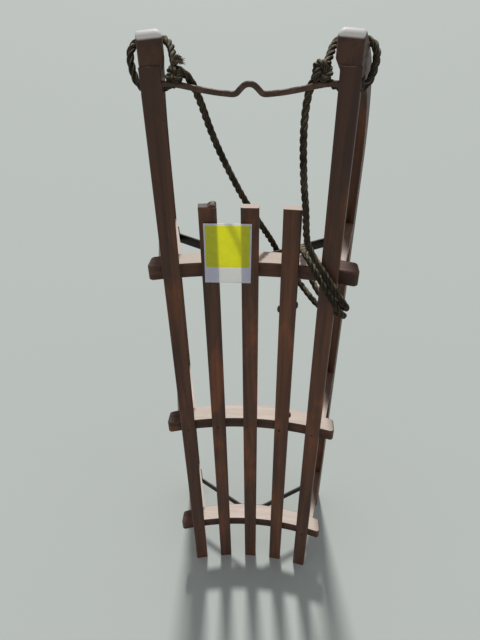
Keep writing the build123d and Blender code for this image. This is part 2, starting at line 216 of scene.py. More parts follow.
class Bench:
    """Adds nodes to one shader tree and joins them."""

    def __init__(self, tree: bpy.types.NodeTree) -> None:
        """Keeps the tree that is worked on."""
        self.tree = tree

    def feed(self, node: bpy.types.Node, inputs: dict) -> None:
        """Links or sets a node's inputs.

        Args:
            node: The node that takes them.
            inputs: Values or sockets by the input's name or number.
        """
        for name, value in inputs.items():
            if isinstance(value, Socket):
                self.tree.links.new(value, node.inputs[name])
            else:
                node.inputs[name].default_value = value

    def add(self, kind: str, inputs: dict | None = None, **options: object) -> bpy.types.Node:
        """Adds a node.

        Args:
            kind: The node's type, without the word ShaderNode.
            inputs: Values or sockets by the input's name or number.
            options: The node's own settings.

        Returns:
            The new node.
        """
        node = self.tree.nodes.new("ShaderNode" + kind)
        for name, value in options.items():
            setattr(node, name, value)
        self.feed(node, inputs or {})
        return node

    def group(self, tree: bpy.types.NodeTree, inputs: dict) -> bpy.types.NodeOutputs:
        """Returns the outputs of a node group that is placed with its own values."""
        return self.add("Group", inputs, node_tree=tree).outputs

    def compute(self, operation: str, first: object, second: object = 0.0) -> Socket:
        """Returns the result of one Math node on one or two numbers or sockets."""
        return self.add("Math", {0: first, 1: second}, operation=operation).outputs[0]

    def times(self, first: object, second: object) -> Socket:
        """Returns the product of two numbers or sockets."""
        return self.compute("MULTIPLY", first, second)

    def vector(self, operation: str, first: object, second: object) -> Socket:
        """Returns the vector result of one Vector Math node."""
        return self.add("VectorMath", {0: first, 1: second}, operation=operation).outputs[0]

    def split(self, vector: Socket) -> bpy.types.NodeOutputs:
        """Returns the three parts of a vector."""
        return self.add("SeparateXYZ", {0: vector}).outputs

    def join(self, x: Socket, y: Socket, z: Socket) -> Socket:
        """Returns a vector of three parts."""
        return self.add("CombineXYZ", {0: x, 1: y, 2: z}).outputs[0]

    def turned(self, vector: Socket, angle: float) -> Socket:
        """Returns a vector turned about the z axis."""
        return self.add("VectorRotate", {"Vector": vector, "Angle": angle}, rotation_type="Z_AXIS").outputs[0]

    def place(self) -> Socket:
        """Returns the place on the object, which is the place in the frame."""
        return self.add("TexCoord").outputs["Object"]

    def normal(self) -> Socket:
        """Returns the direction that the surface faces."""
        return self.add("NewGeometry").outputs["Normal"]

    def span(self, value: Socket, band: Band, result: Band = (0.0, 1.0)) -> Socket:
        """Takes a value smoothly from one range to another.

        Args:
            value: The value.
            band: The range that it comes from.
            result: What the ends of that range become.

        Returns:
            The new value.
        """
        inputs = {
            "Value": value,
            "From Min": band[0],
            "From Max": band[1],
            "To Min": result[0],
            "To Max": result[1],
        }
        return self.add("MapRange", inputs, interpolation_type="SMOOTHSTEP").outputs[0]

    def blend(self, share: object, first: object, second: object) -> Socket:
        """Returns a colour between two others."""
        return self.add("Mix", {0: share, 6: first, 7: second}, data_type="RGBA").outputs[2]

    def noise(self, place: Socket, pattern: Pattern) -> Socket:
        """Returns the value of a noise.

        Args:
            place: Where on the surface it is read.
            pattern: Its scale and character.

        Returns:
            The noise's value.
        """
        inputs = {
            "Vector": self.vector("MULTIPLY", place, pattern.scale),
            "Scale": 1.0,
            "Detail": pattern.detail,
            "Roughness": pattern.roughness,
            "Distortion": pattern.distortion,
        }
        return self.add("TexNoise", inputs).outputs[0]

    def bump(self, strength: float, distance: float, height: Socket) -> Socket:
        """Returns the normal of a surface raised by a height."""
        return self.add("Bump", {"Strength": strength, "Distance": distance, "Height": height}).outputs[0]


def new_group(
    name: str, inputs: dict[str, str], outputs: dict[str, str]
) -> tuple[Bench, dict[str, Socket], bpy.types.Node]:
    """Makes an empty shader node group.

    Args:
        name: The group's name.
        inputs: Socket type by input name.
        outputs: Socket type by output name.

    Returns:
        A bench on the group, its input sockets by name, and its output node.
    """
    tree = bpy.data.node_groups.new(name, "ShaderNodeTree")
    for way, sockets in (("INPUT", inputs), ("OUTPUT", outputs)):
        for label, kind in sockets.items():
            tree.interface.new_socket(name=label, in_out=way, socket_type="NodeSocket" + kind)
    entry = tree.nodes.new("NodeGroupInput")
    leave = tree.nodes.new("NodeGroupOutput")
    return Bench(tree), {label: entry.outputs[label] for label in inputs}, leave


def new_material(name: str) -> tuple[bpy.types.Material, Bench, bpy.types.Node]:
    """Makes a material with one Principled shader.

    Args:
        name: The material's name.

    Returns:
        The material, a bench on its nodes, and its shader.
    """
    material = bpy.data.materials.new(name)
    material.use_nodes = True
    shader = material.node_tree.nodes["Principled BSDF"]
    return material, Bench(material.node_tree), shader


@dataclass(frozen=True)
class RunnerShape:
    """The sizes of a bent runner that its grain needs, in millimetres and degrees."""

    track: float = 342.0
    depth: float = 40.0
    centre_depth: float = 198.02
    slant_degrees: float = 14.0
    bend_radius: float = 197.0
    bend_start: float = 978.6

    def middle(self) -> Vector:
        """Returns the middle of the right runner at its rear end."""
        return drawn(self.track / 2, self.centre_depth, 0.0)

    def bend_depth(self) -> float:
        """Returns the bend's centre in the runner's depth, in metres."""
        return (self.depth / 2 - self.bend_radius) * MM

    def bend_height(self) -> float:
        """Returns the height at which the bend starts, in metres."""
        return self.bend_start * MM


class Effects:
    """The shader node groups that several finishes share."""

    seed_steps: Point = (0.731, 0.317, 0.173)
    tone = Pattern((60.0, 60.0, 2.4), 5.0, 0.6, 0.7)
    streak = Pattern((330.0, 330.0, 6.0), 4.0, 0.6, 0.3)
    pore = Pattern((1500.0, 1500.0, 45.0), 2.0, 0.5)
    patch = Pattern((16.0, 16.0, 6.0), 3.0, 0.6, 0.5)
    tone_band: Band = (0.3, 0.7)
    pore_band: Band = (0.56, 0.68)
    streak_height: float = 0.7
    pore_height: float = 0.35
    bevel_samples: int = 6
    edge_band: Band = (0.012, 0.12)
    broken = Pattern((70.0, 70.0, 40.0), 5.0, 0.65)
    broken_band: Band = (0.5, 0.72)
    runner = RunnerShape()

    def __init__(self) -> None:
        """Builds each group once."""
        self.grain = self.build_grain()
        self.wear = self.build_wear()
        self.bent = self.build_bent()

    def build_grain(self) -> bpy.types.NodeTree:
        """Builds the wood grain group: z of its vector runs along the grain, in metres.

        Returns:
            The group.
        """
        results = ("Tone", "Streak", "Pore", "Patch", "Height")
        bench, given, leave = new_group(
            "wood_grain", {"Vector": "Vector", "Seed": "Float"}, {name: "Float" for name in results}
        )
        offset = bench.join(*(bench.times(given["Seed"], step) for step in self.seed_steps))
        place = bench.vector("ADD", given["Vector"], offset)
        streak = bench.noise(place, self.streak)
        pores = bench.span(bench.noise(place, self.pore), self.pore_band)
        raised = bench.times(streak, self.streak_height)
        sunk = bench.times(pores, self.pore_height)
        bench.feed(leave, {
            "Tone": bench.span(bench.noise(place, self.tone), self.tone_band),
            "Streak": streak,
            "Pore": pores,
            "Patch": bench.noise(place, self.patch),
            "Height": bench.compute("SUBTRACT", raised, sunk),
        })
        return bench.tree

    def build_wear(self) -> bpy.types.NodeTree:
        """Builds the edge wear group, a broken line of wear along edges.

        Returns:
            The group.
        """
        bench, given, leave = new_group("edge_wear", {"Radius": "Float", "Cover": "Float"}, {"Mask": "Float"})
        rounded = bench.add("Bevel", {"Radius": given["Radius"]}, samples=self.bevel_samples).outputs[0]
        ways = {0: rounded, 1: bench.normal()}
        match = bench.add("VectorMath", ways, operation="DOT_PRODUCT").outputs["Value"]
        edge = bench.span(bench.compute("SUBTRACT", 1.0, match), self.edge_band)
        broken = bench.noise(bench.place(), self.broken)
        kept = bench.span(bench.compute("ADD", broken, given["Cover"]), self.broken_band)
        bench.feed(leave, {"Mask": bench.times(edge, kept)})
        return bench.tree

    def build_bent(self) -> bpy.types.NodeTree:
        """Builds the group that unrolls a runner's bend, so that the grain follows it.

        Returns:
            The group.
        """
        bench, given, leave = new_group("unrolled_runner", {"Side": "Float"}, {"Vector": "Vector"})
        shape = self.runner
        x, y, z = bench.split(bench.place())
        right = bench.join(bench.times(x, given["Side"]), y, z)
        centred = bench.vector("SUBTRACT", right, tuple(shape.middle()))
        turned = bench.turned(centred, math.radians(shape.slant_degrees))
        across, inward, upward = bench.split(turned)
        depth = bench.compute("SUBTRACT", inward, shape.bend_depth())
        rise = bench.compute("SUBTRACT", upward, shape.bend_height())
        squares = bench.compute("ADD", bench.compute("POWER", depth, 2.0), bench.compute("POWER", rise, 2.0))
        radius = bench.compute("SQRT", squares)
        arc = bench.times(bench.compute("ARCTAN2", rise, depth), shape.bend_radius * MM)
        along = bench.compute("ADD", arc, shape.bend_height())
        unrolled = bench.join(across, bench.compute("ADD", radius, shape.bend_depth()), along)
        past = bench.compute("GREATER_THAN", rise, 0.0)
        result = bench.add("Mix", {0: past, 4: turned, 5: unrolled}, data_type="VECTOR").outputs[1]
        bench.feed(leave, {"Vector": result})
        return bench.tree


@dataclass(frozen=True)
class WoodFinish:
    """Dark stained and varnished ash, worn at its edges, with painted light on its upward faces and painted
    shade where the runners' shadows fall. Heights and places are in metres.
    """

    body: Colour = srgb(108, 68, 48)
    dark: Colour = srgb(63, 41, 30)
    warm: Colour = srgb(142, 80, 46)
    worn: Colour = srgb(160, 128, 104)
    # the next two colours are painted light: a painted highlight on the horn tips, and painted sunlight on
    # the other pieces' upward faces
    tip_highlight_colour: Colour = srgb(232, 227, 220)
    sunlit_top_colour: Colour = srgb(206, 188, 172)
    leg_turn_degrees: float = 13.0
    warm_band: Band = (0.52, 0.7)
    warm_share: float = 0.75
    streak_band: Band = (0.35, 0.65)
    streak_share: float = 0.45
    pore_share: float = 0.4
    dark_heights: Band = (0.8, 1.15)
    dark_share: float = 0.5
    wear_radius: float = 0.0022
    wear_cover: float = 0.1
    wear_share: float = 0.75
    # the next eight values place the painted light: the horn tips' painted highlight, the painted sunlit
    # tops, and the painted shade left at the crossbar ends and at the right legs' runner side
    tip_highlight_facing: Band = (0.12, 0.4)
    tip_highlight_heights: Band = (1.176, 1.19)
    tip_highlight_share: float = 0.95
    sunlit_top_facing: Band = (0.8, 0.95)
    sunlit_top_share: float = 0.9
    shaded_crossbar_ends: Band = (0.116, 0.124)
    leg_shadow_depths: Band = (-0.06, -0.01)
    leg_shadow_least: float = 0.1
    gloss_band: Band = (0.3, 0.7)
    roughness: Band = (0.44, 0.64)
    worn_roughness: float = 0.15
    bump_strength: float = 0.35
    bump_distance: float = 0.0006
    coat: float = 0.05
    coat_roughness: float = 0.35
    specular: float = 0.35

    def grain_place(self, bench: Bench, effects: Effects, grain: Grain, side: int) -> Socket:
        """Turns the place on a piece so that z runs along its grain.

        Args:
            bench: The bench on the material.
            effects: The shared node groups.
            grain: The way that the grain runs.
            side: -1 on the left and 1 on the right.

        Returns:
            The turned place.
        """
        if grain is Grain.ROUND_BEND:
            return bench.group(effects.bent, {"Side": float(side)})["Vector"]
        place = bench.place()
        if grain is Grain.ALONG_SLED:
            return place
        if grain is Grain.UP_LEG:
            x, y, z = bench.split(bench.turned(place, side * math.radians(self.leg_turn_degrees)))
            return bench.join(x, z, y)
        x, y, z = bench.split(place)
        return bench.join(y, z, x)

    def stained(self, bench: Bench, wood: bpy.types.NodeOutputs) -> Socket:
        """Mixes the stained wood's own colour.

        Args:
            bench: The bench on the material.
            wood: The outputs of the grain group.

        Returns:
            The colour.
        """
        colour = bench.blend(wood["Tone"], self.dark, self.body)
        warm = bench.span(wood["Patch"], self.warm_band, (0.0, self.warm_share))
        colour = bench.blend(warm, colour, self.warm)
        streaks = bench.span(wood["Streak"], self.streak_band, (self.streak_share, 0.0))
        colour = bench.blend(streaks, colour, self.dark)
        return bench.blend(bench.times(wood["Pore"], self.pore_share), colour, self.dark)

    def painted_light_share(self, bench: Bench, grain: Grain, side: int) -> Socket:
        """Finds the share of painted light on the faces that look up: a painted highlight on the horn tips,
        or painted sunlit tops on the other pieces, less painted shade at crossbar ends and near the runner on
        the right legs.

        Args:
            bench: The bench on the material.
            grain: The way that the grain runs.
            side: -1 on the left and 1 on the right, or -1 for a crossbar whose ends are both left in painted
                shade, while 1 leaves only its left end in painted shade.

        Returns:
            The share of the painted light's colour.
        """
        facing = bench.split(bench.normal())[2]
        x, y, z = bench.split(bench.place())
        if grain is Grain.ROUND_BEND:
            # painted highlight on the horn tips' upward faces near their top
            lit_tip = bench.times(bench.span(facing, self.tip_highlight_facing), bench.span(z, self.tip_highlight_heights))
            return bench.times(lit_tip, self.tip_highlight_share)
        # painted sunlight on the upward faces of the other pieces
        top = bench.span(facing, self.sunlit_top_facing)
        # painted shade: the painted sunlight stops short of a crossbar's left end, or of both its ends, where
        # the runners' shadows fall
        if grain is Grain.ACROSS_SLED:
            reach = bench.compute("ABSOLUTE", x) if side < 0 else bench.times(x, -1.0)
            top = bench.times(top, bench.span(reach, self.shaded_crossbar_ends, (1.0, 0.0)))
        # painted shadow of the runner: the right legs' painted sunlight fades towards the runner
        if grain is Grain.UP_LEG and side > 0:
            top = bench.times(top, bench.span(y, self.leg_shadow_depths, (1.0, self.leg_shadow_least)))
        return bench.times(top, self.sunlit_top_share)

    def build(
        self, name: str, effects: Effects, grain: Grain, seed: float, side: int = 1
    ) -> bpy.types.Material:
        """Builds the material of one wooden piece.

        Args:
            name: The piece's name.
            effects: The shared node groups.
            grain: The way that its grain runs.
            seed: Moves the grain, so that no two pieces match.
            side: -1 on the left and 1 on the right, or -1 for a crossbar whose ends are both left in painted
                shade, while 1 leaves only its left end in painted shade.

        Returns:
            The material.
        """
        material, bench, shader = new_material("wood_" + name)
        place = self.grain_place(bench, effects, grain, side)
        wood = bench.group(effects.grain, {"Vector": place, "Seed": seed})
        colour = self.stained(bench, wood)
        if grain in (Grain.ALONG_SLED, Grain.ROUND_BEND):
            height = bench.split(bench.place())[2]
            darker = bench.span(height, self.dark_heights, (0.0, self.dark_share))
            colour = bench.blend(darker, colour, self.dark)
        wear = bench.group(effects.wear, {"Radius": self.wear_radius, "Cover": self.wear_cover})["Mask"]
        colour = bench.blend(bench.times(wear, self.wear_share), colour, self.worn)
        # the painted light's colour: a painted highlight on the horn tips, painted sunlight on the other
        # pieces' tops
        pale = self.tip_highlight_colour if grain is Grain.ROUND_BEND else self.sunlit_top_colour
        colour = bench.blend(self.painted_light_share(bench, grain, side), colour, pale)
        rough = bench.span(wood["Streak"], self.gloss_band, self.roughness)
        bench.feed(shader, {
            "Base Color": colour,
            "Roughness": bench.compute("ADD", rough, bench.times(wear, self.worn_roughness)),
            "Normal": bench.bump(self.bump_strength, self.bump_distance, wood["Height"]),
            "Coat Weight": self.coat,
            "Coat Roughness": self.coat_roughness,
            "Specular IOR Level": self.specular,
        })
        return material


@dataclass(frozen=True)
class IronFinish:
    """Forged iron, nearly black, with rust in patches."""

    name: str = "forged_iron"
    dark: Colour = srgb(50, 45, 43)
    rust: Colour = srgb(92, 66, 54)
    bright: Colour = srgb(126, 118, 112)
    patch: Pattern = Pattern((75.0, 75.0, 75.0), 8.0, 0.7)
    pits: Pattern = Pattern((900.0, 900.0, 900.0), 3.0, 0.6)
    pit_band: Band = (0.4, 0.7)
    pit_share: float = 0.4
    rust_from: float = 0.54
    rust_width: float = 0.16
    wear_radius: float = 0.0012
    wear_cover: float = 0.05
    wear_share: float = 0.6
    roughness: float = 0.5
    rust_roughness: float = 0.85
    metallic: float = 0.75
    rust_metallic: float = 0.05
    height_share: float = 0.5
    bump_strength: float = 0.4
    bump_distance: float = 0.0004

    def build(self, effects: Effects) -> bpy.types.Material:
        """Builds the material of an iron or steel piece.

        Args:
            effects: The shared node groups.

        Returns:
            The material.
        """
        material, bench, shader = new_material(self.name)
        place = bench.place()
        pitted = bench.noise(place, self.pits)
        rusty = bench.span(bench.noise(place, self.patch), (self.rust_from, self.rust_from + self.rust_width))
        wear = bench.group(effects.wear, {"Radius": self.wear_radius, "Cover": self.wear_cover})["Mask"]
        colour = bench.blend(rusty, self.dark, self.rust)
        colour = bench.blend(bench.span(pitted, self.pit_band, (self.pit_share, 0.0)), colour, self.dark)
        colour = bench.blend(bench.times(wear, self.wear_share), colour, self.bright)
        heights = (bench.times(layer, self.height_share) for layer in (pitted, rusty))
        bench.feed(shader, {
            "Base Color": colour,
            "Metallic": bench.span(rusty, (0.0, 1.0), (self.metallic, self.rust_metallic)),
            "Roughness": bench.span(rusty, (0.0, 1.0), (self.roughness, self.rust_roughness)),
            "Normal": bench.bump(self.bump_strength, self.bump_distance, bench.compute("ADD", *heights)),
        })
        return material


@dataclass(frozen=True)
class RopeFinish:
    """Old hemp rope, dark with dirt, paler where its fibres stand out, and with a painted sheen, broken up by
    chafe noise, on its upward faces.
    """

    name: str = "hemp_rope"
    dirty: Colour = srgb(38, 33, 27)
    fibre: Colour = srgb(84, 74, 58)
    # the next colour serves both the loose fibres and the painted sheen on the upward faces
    pale: Colour = srgb(178, 166, 140)
    yarns: float = 5.0
    slope: float = 95.0
    yarn_band: Band = (-1.0, 0.6)
    loose: Pattern = Pattern((1200.0, 1200.0, 1200.0), 4.0, 0.7)
    loose_band: Band = (0.56, 0.72)
    loose_height: float = 0.8
    soil: Pattern = Pattern((38.0, 38.0, 38.0), 5.0, 0.65)
    soil_band: Band = (0.36, 0.62)
    soil_shares: Band = (0.85, 0.1)
    chafe: Pattern = Pattern((110.0, 110.0, 110.0), 5.0, 0.7)
    chafe_band: Band = (0.4, 0.6)
    chafe_shares: Band = (0.15, 0.75)
    sheen_facing: Band = (0.3, 0.85)
    roughness: float = 0.92
    specular: float = 0.2
    bump_strength: float = 0.8
    bump_distance: float = 0.0005

    def build(self) -> bpy.types.Material:
        """Builds the material of the rope's strands, which reads their own UV map.

        Returns:
            The material.
        """
        material, bench, shader = new_material(self.name)
        around, along, _ = bench.split(bench.add("UVMap", uv_map="lay").outputs[0])
        place = bench.place()
        turn = bench.compute("ADD", bench.times(around, self.yarns), bench.times(along, self.slope))
        yarn = bench.span(bench.compute("SINE", bench.times(turn, math.tau)), self.yarn_band)
        loose = bench.noise(place, self.loose)
        soiled = bench.span(bench.noise(place, self.soil), self.soil_band, self.soil_shares)
        chafe_and_sheen = bench.span(bench.noise(place, self.chafe), self.chafe_band, self.chafe_shares)
        facing = bench.split(bench.normal())[2]
        colour = bench.blend(yarn, self.dirty, self.fibre)
        colour = bench.blend(bench.span(loose, self.loose_band), colour, self.pale)
        colour = bench.blend(soiled, colour, self.dirty)
        # painted sheen on the rope's upward faces, broken up by chafe noise
        colour = bench.blend(bench.times(bench.span(facing, self.sheen_facing), chafe_and_sheen), colour, self.pale)
        height = bench.compute("ADD", yarn, bench.times(loose, self.loose_height))
        bench.feed(shader, {
            "Base Color": colour,
            "Roughness": self.roughness,
            "Specular IOR Level": self.specular,
            "Normal": bench.bump(self.bump_strength, self.bump_distance, height),
        })
        return material


@dataclass(frozen=True)
class CardFinish:
    """A blank printed card: a yellow panel over a white band, in a white border."""

    paper: Colour = srgb(228, 226, 228)
    panel: Colour = srgb(228, 226, 10)
    shaded: Colour = srgb(196, 192, 10)
    border: float = 0.032
    band: float = 0.27
    wear: Pattern = Pattern((60.0, 60.0, 60.0), 4.0)
    shade_band: Band = (0.4, 0.65)
    shade_share: float = 0.25
    gloss_band: Band = (0.3, 0.7)
    roughness: Band = (0.3, 0.42)
    glow_radius: Point = (1.0, 1.0, 0.6)
    glow_scale: float = 0.004

    def inside(self, bench: Bench) -> Socket:
        """Finds the yellow panel on the card's own UV map.

        Args:
            bench: The bench on the material.

        Returns:
            1 inside the panel, and 0 outside it.
        """
        across, upward, _ = bench.split(bench.add("UVMap", uv_map="UVMap").outputs[0])
        high = 1 - self.border
        result = bench.compute("GREATER_THAN", across, self.border)
        result = bench.times(result, bench.compute("LESS_THAN", across, high))
        result = bench.times(result, bench.compute("GREATER_THAN", upward, self.band))
        return bench.times(result, bench.compute("LESS_THAN", upward, high))

    def build(self) -> bpy.types.Material:
        """Builds the material.

        Returns:
            The material.
        """
        material, bench, shader = new_material("blank_card")
        worn = bench.noise(bench.place(), self.wear)
        faded = bench.span(worn, self.shade_band, (0.0, self.shade_share))
        panel = bench.blend(faded, self.panel, self.shaded)
        bench.feed(shader, {
            "Base Color": bench.blend(self.inside(bench), self.paper, panel),
            "Roughness": bench.span(worn, self.gloss_band, self.roughness),
            "Subsurface Weight": 1.0,
            "Subsurface Radius": self.glow_radius,
            "Subsurface Scale": self.glow_scale,
        })
        return material


def linked(name: str, data: bpy.types.ID) -> bpy.types.Object:
    """Makes an object and links it to the scene.

    Args:
        name: The object's name.
        data: Its mesh, curve, lamp or camera.

    Returns:
        The new object.
    """
    made = bpy.data.objects.new(name, data)
    bpy.context.scene.collection.objects.link(made)
    return made


def dress(node: str, material: bpy.types.Material) -> None:
    """Gives a CAD node its material.

    Args:
        node: The node's name.
        material: Its material.
    """
    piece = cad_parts[node]
    piece.data.materials.clear()
    piece.data.materials.append(material)


def deselect() -> None:
    """Leaves nothing selected before an operator is used."""
    bpy.ops.object.select_all(action="DESELECT")


def activate(piece: bpy.types.Object) -> None:
    """Leaves one piece selected and active, for the operators that follow.

    Args:
        piece: The piece.
    """
    deselect()
    piece.select_set(True)
    bpy.context.view_layer.objects.active = piece


def finish_with(piece: bpy.types.Object, kind: str, **settings: object) -> None:
    """Adds a modifier to the active piece and applies it.

    Args:
        piece: The active piece.
        kind: The modifier's type.
        settings: The modifier's own settings.
    """
    modifier = piece.modifiers.new("finish", kind)
    for name, value in settings.items():
        setattr(modifier, name, value)
    bpy.ops.object.modifier_apply(modifier=modifier.name)


def settle(piece: bpy.types.Object, name: str, material: bpy.types.Material) -> bpy.types.Object:
    """Finishes a new piece: its place goes into its mesh, and it rides with the sled.

    Args:
        piece: The modelled object.
        name: The piece's name.
        material: Its material.

    Returns:
        The same object.
    """
    piece.name = name
    piece.data.name = name
    piece.data.transform(piece.matrix_world)
    piece.matrix_world = Matrix.Identity(4)
    piece.data.materials.clear()
    piece.data.materials.append(material)
    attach(piece, "root")
    LOG.info("%s: %d faces", name, len(piece.data.polygons))
    return piece


def set_copies(
    pattern: bpy.types.Object, stem: str, places: list[Matrix], material: bpy.types.Material
) -> None:
    """Sets a numbered copy of a piece, with its own mesh, at each place and removes the pattern.

    Args:
        pattern: The piece that is modelled once.
        stem: The copies' name, before their number.
        places: Where the copies go.
        material: Their material.
    """
    for number, place in enumerate(places, 1):
        piece = linked(stem, pattern.data.copy())
        piece.matrix_world = place
        settle(piece, f"{stem}_{number}", material)
    mesh = pattern.data
    bpy.data.objects.remove(pattern)
    bpy.data.meshes.remove(mesh)


def spline_points(name: str, route: list[Vector], cyclic: bool = False) -> list[Vector]:
    """Reads the points of a smooth line that has the route's points as its control points.

    Args:
        name: A name for the scratch curve.
        route: The control points, in the frame.
        cyclic: Whether the line closes on itself.

    Returns:
        Points along the line.
    """
    data = bpy.data.curves.new(name, "CURVE")
    data.dimensions = "3D"
    spline = data.splines.new("NURBS")
    spline.points.add(len(route) - 1)
    for knot, place in zip(spline.points, route):
        knot.co = (*place, 1.0)
    spline.order_u = 3
    spline.use_cyclic_u = cyclic
    spline.use_endpoint_u = not cyclic
    spline.resolution_u = 16
    holder = linked(name, data)
    bpy.context.view_layer.update()
    line = bpy.data.meshes.new_from_object(holder.evaluated_get(bpy.context.evaluated_depsgraph_get()))
    points = [vertex.co.copy() for vertex in line.vertices]
    bpy.data.meshes.remove(line)
    bpy.data.objects.remove(holder)
    bpy.data.curves.remove(data)
    return points


def even_points(points: list[Vector], step: float) -> list[Vector]:
    """Finds points at even distances along a line of points.

    Args:
        points: The line.
        step: The distance wanted between two points, in metres.

    Returns:
        The even points, both ends included.
    """
    reach = [0.0]
    for before, after in zip(points, points[1:]):
        reach.append(reach[-1] + (after - before).length)
    count = max(2, round(reach[-1] / step))
    found = []
    index = 0
    for number in range(count + 1):
        target = reach[-1] * number / count
        while index < len(points) - 2 and reach[index + 1] < target:
            index += 1
        share = (target - reach[index]) / max(reach[index + 1] - reach[index], 1e-9)
        found.append(points[index].lerp(points[index + 1], clamped(share, 0.0, 1.0)))
    return found


def line_length(points: list[Vector]) -> float:
    """Returns the length of a line of points."""
    return sum((after - before).length for before, after in zip(points, points[1:]))


def rod_line(step: float) -> list[Vector]:
    """Finds the draw rod's middle line, from its left end to its right one.

    Args:
        step: The distance wanted between two points, in metres.

    Returns:
        Even points along it.
    """
    half = [drawn(x, ROD_DEPTH, z) for x, z in ROD_ROUTE]
    mirrored = [Vector((-place.x, place.y, place.z)) for place in reversed(half)]
    return even_points(spline_points("rod_line", half + mirrored), step)


def frames_along(points: list[Vector]) -> list[tuple[Vector, Vector, Vector]]:
    """Finds a tangent and two steady side directions at each point of a line.

    Args:
        points: The line.

    Returns:
        The three directions at each point.
    """
    tangents = []
    for index in range(len(points)):
        before = points[max(index - 1, 0)]
        after = points[min(index + 1, len(points) - 1)]
        tangents.append((after - before).normalized())
    side = tangents[0].orthogonal().normalized()
    frames = []
    for tangent in tangents:
        side = (side - tangent * side.dot(tangent)).normalized()
        frames.append((tangent, side, tangent.cross(side)))
    return frames


@dataclass
class Woodwork:
    """The rails, slats, crossbars and legs, which keep their CAD shape."""

    effects: Effects
    finish: WoodFinish = WoodFinish()
    paler: WoodFinish = WoodFinish(body=srgb(124, 77, 50), dark=srgb(76, 47, 33), warm=srgb(150, 86, 50))
    first_seed: float = 0.4
    seed_step: float = 1.7

    def build(self) -> None:
        """Gives each wooden piece its own grain."""
        bars = ("rail_left", "rail_right", "slat_left", "slat_middle", "slat_right")
        plan = [(name, Grain.ALONG_SLED, 1) for name in bars]
        for row in ("front", "middle", "rear"):
            # the front crossbar's ends are both left in painted shade, the other crossbars only their left
            # end
            plan.append((f"crossbar_{row}", Grain.ACROSS_SLED, -1 if row == "front" else 1))
            plan += [(f"leg_{row}_{name}", Grain.UP_LEG, side) for name, side in SIDES]
        for number, (name, grain, side) in enumerate(plan):
            finish = self.paler if name == "slat_right" else self.finish
            seed = self.seed_step * number + self.first_seed
            dress(name, finish.build(name, self.effects, grain, seed, side))
        LOG.info("%d wooden pieces dressed", len(plan))


@dataclass
class Ironwork:
    """The braces, nuts and shoes, which keep their CAD shape, and the draw rod, which is modelled anew."""

    effects: Effects
    rod_radius: float = 3.9
    rod_step: float = 0.0015
    rod_roundness: int = 6
    smooth_degrees: float = 40.0
    iron: IronFinish = IronFinish()
    rod: IronFinish = IronFinish(
        name="rod_iron", dark=srgb(82, 66, 58), rust=srgb(108, 78, 62), rust_from=0.46
    )
    steel: IronFinish = IronFinish(
        name="shoe_steel",
        dark=srgb(118, 112, 108),
        rust=srgb(120, 76, 52),
        bright=srgb(196, 192, 188),
        roughness=0.38,
    )

    def build(self) -> None:
        """Gives each metal piece its material, and builds the draw rod."""
        forged = self.iron.build(self.effects)
        for name in ("brace_front", "brace_rear", "rod_nut_left", "rod_nut_right"):
            dress(name, forged)
        self.build_rod()
        rolled = self.steel.build(self.effects)
        for name in ("shoe_left", "shoe_right"):
            dress(name, rolled)
        LOG.info("metal pieces dressed")

    def build_rod(self) -> None:
        """Builds the draw rod as a round bar along its own smooth line."""
        points = rod_line(self.rod_step)
        data = bpy.data.curves.new("bent_rod", "CURVE")
        data.dimensions = "3D"
        data.bevel_depth = self.rod_radius * MM
        data.bevel_resolution = self.rod_roundness
        data.use_fill_caps = True
        line = data.splines.new("POLY")
        line.points.add(len(points) - 1)
        for knot, place in zip(line.points, points):
            knot.co = (*place, 1.0)
        activate(linked("bent_rod", data))
        bpy.ops.object.convert(target="MESH")
        rod = bpy.context.object
        bpy.ops.object.shade_smooth_by_angle(angle=math.radians(self.smooth_degrees))
        settle(rod, "bent_rod", self.rod.build(self.effects))
        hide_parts("draw_rod")


@dataclass(frozen=True)
class Strand:
    """How a rope is laid up, in metres."""

    diameter: float = 0.011
    lay: float = 0.034
    strands: int = 3
    sides: int = 10
    step: float = 0.0022
    offset_share: float = 0.25

    def offset(self) -> float:
        """Returns the distance of a strand's middle from the rope's middle line."""
        return self.diameter * self.offset_share

    def thickness(self) -> float:
        """Returns a strand's radius, so that three of them fill the rope's diameter."""
        return self.diameter / 2 - self.offset()

    def rings(self, points: list[Vector], number: int) -> list[Vector]:
        """Winds one strand round the rope's middle line.

        Args:
            points: The middle line, evenly spaced.
            number: Which strand it is.

        Returns:
            The strand's points, one ring after another.
        """
        verts = []
        for index, (place, (tangent, side, up)) in enumerate(zip(points, frames_along(points))):
            turn = math.tau * (index * self.step / self.lay + number / self.strands)
            out = side * math.cos(turn) + up * math.sin(turn)
            around = up * math.cos(turn) - side * math.sin(turn)
            lean = (tangent * self.lay + around * math.tau * self.offset()).normalized()
            middle = place + out * self.offset()
            cross = lean.cross(out)
            for corner in range(self.sides):
                angle = math.tau * corner / self.sides
                verts.append(middle + (out * math.cos(angle) + cross * math.sin(angle)) * self.thickness())
        return verts


